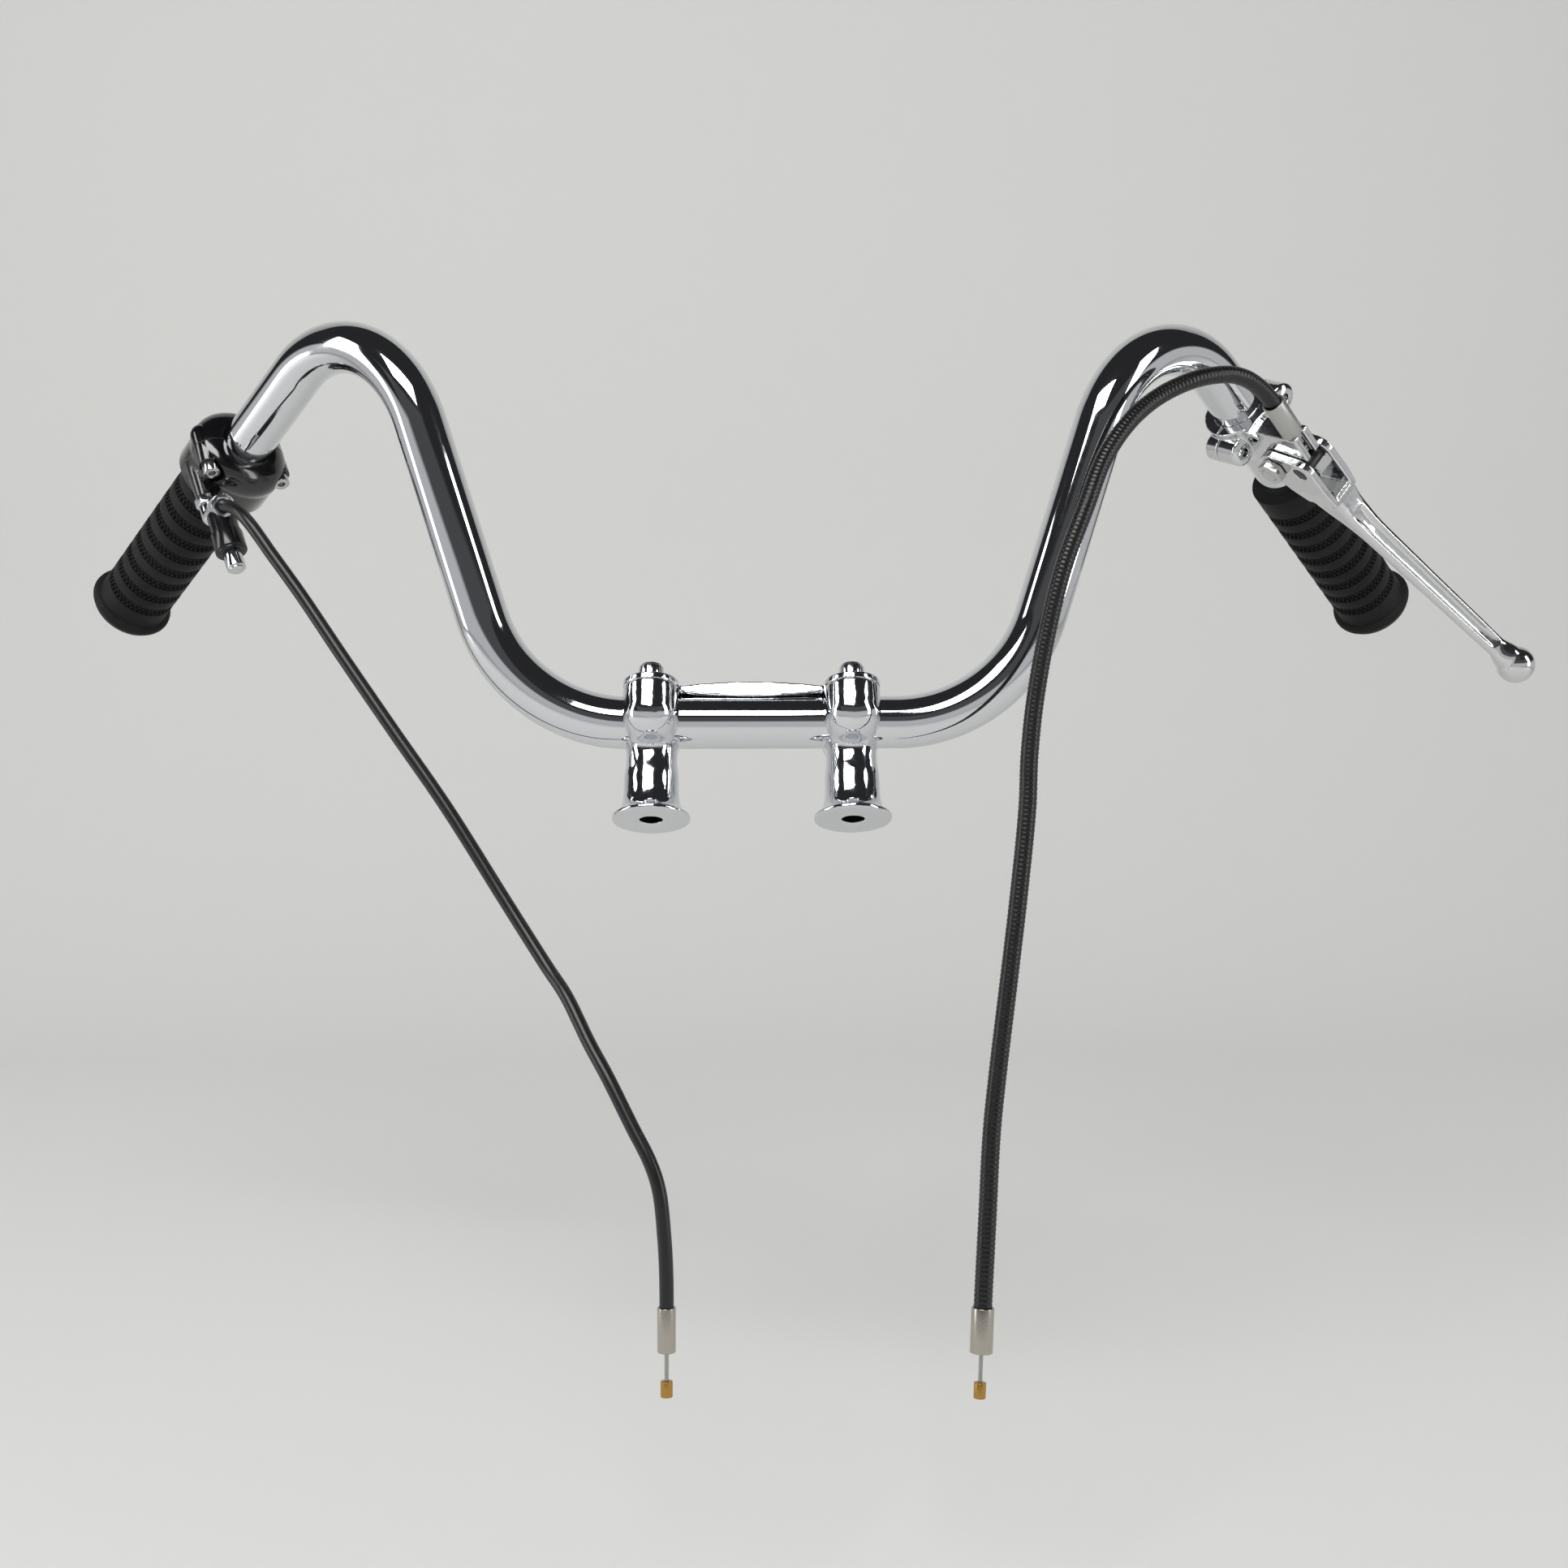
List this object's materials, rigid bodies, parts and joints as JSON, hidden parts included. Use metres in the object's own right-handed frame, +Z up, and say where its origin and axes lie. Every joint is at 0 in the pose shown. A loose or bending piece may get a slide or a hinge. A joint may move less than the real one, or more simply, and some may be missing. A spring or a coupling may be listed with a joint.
{
  "type": "motorcycle handlebar assembly",
  "caption": "High-rise swept-back tubular handlebar on clamp risers, with rubber grips, twist throttle, clutch lever and their two control cables.",
  "frame": {"origin": "midway between the two riser feet, on the plane of their seats", "axes": "+Z is up, +X is towards the clutch side, +Y is towards the rider; the risers lean back from +Z towards +Y"},
  "size_m": [0.7945, 0.3087, 0.4885],
  "materials": {
    "chrome_plated_steel": "polished chrome plate",
    "chrome_plated_casting": "chrome plate over a polished casting",
    "chrome_plated_screws": "chrome plate",
    "chrome_plated_elbow": "chrome plate, slightly dulled",
    "stainless_screws": "turned stainless steel",
    "polished_aluminium": "hand polished",
    "satin_ferrule": "fine turned satin",
    "nickel_plated_ferrule": "nickel plate",
    "steel_inner_wire": "stranded steel",
    "dark_anchor_steel": "blackened steel",
    "brass_nipple": "turned brass",
    "bronze_bushing": "sintered bronze",
    "black_enamel": "gloss black enamel over die-cast metal",
    "black_cap_plastic": "black moulded cap",
    "black_acetal": "moulded",
    "moulded_rubber": "matte black, moulded bands and fine teeth",
    "black_cable_sheath": "extruded, slightly satin",
    "ribbed_cable_sheath": "extruded with fine ribs"
  },
  "bodies": {
    "bar": {"handlebar_tube": "chrome_plated_steel", "riser_left": "chrome_plated_casting", "riser_right": "chrome_plated_casting", "top_clamp": "chrome_plated_casting", "clamp_bolts": "chrome_plated_screws", "clamp_washers": "chrome_plated_screws", "clutch_grip": "moulded_rubber", "throttle_housing_upper": "black_enamel", "throttle_housing_lower": "black_enamel", "throttle_screws": "stainless_screws", "throttle_cable_nut": "chrome_plated_screws", "throttle_elbow": "chrome_plated_elbow", "elbow_sleeve": "black_cap_plastic", "elbow_tip": "chrome_plated_elbow", "throttle_cable": "black_cable_sheath", "throttle_cable_ferrule": "nickel_plated_ferrule", "throttle_wire": "steel_inner_wire", "throttle_wire_nipple": "brass_nipple", "clutch_perch": "polished_aluminium", "perch_clamp_cap": "polished_aluminium", "perch_screws": "stainless_screws", "lever_pivot_bolt": "stainless_screws", "pivot_nut": "stainless_screws", "lever_bushing": "bronze_bushing", "clutch_cable_ferrule": "satin_ferrule", "clutch_cable": "ribbed_cable_sheath", "clutch_end_ferrule": "nickel_plated_ferrule", "clutch_wire": "steel_inner_wire", "clutch_wire_nipple": "brass_nipple"},
    "twist": {"throttle_grip": "moulded_rubber", "throttle_sleeve": "black_acetal"},
    "lever": {"clutch_lever": "polished_aluminium"},
    "anchor": {"cable_anchor": "dark_anchor_steel", "anchor_wire": "steel_inner_wire"}
  },
  "joints": [
    {"name": "throttle_twist", "type": "hinge", "parent": "bar", "child": "twist", "pos_m": [-0.27663, 0.1396, 0.16976], "axis": [-0.6094, 0.5392, -0.5813], "range_deg": [0, 75], "stiffness_Nm_per_rad": 0.3, "springref_deg": -5.73},
    {"name": "clutch_squeeze", "type": "hinge", "parent": "bar", "child": "lever", "pos_m": [0.27678, 0.09573, 0.17705], "axis": [0.6011, 0.1638, 0.7822], "range_deg": [0, 20], "stiffness_Nm_per_rad": 1, "springref_deg": -5.73},
    {"name": "anchor_turn", "type": "hinge", "parent": "lever", "child": "anchor", "pos_m": [0.28597, 0.08332, 0.17259], "axis": [0.6011, 0.1638, 0.7822], "range_deg": [-17, 0]}
  ],
  "couplings": [
    {"joint": "anchor_turn", "follows": "clutch_squeeze", "ratio": -0.8}
  ]
}
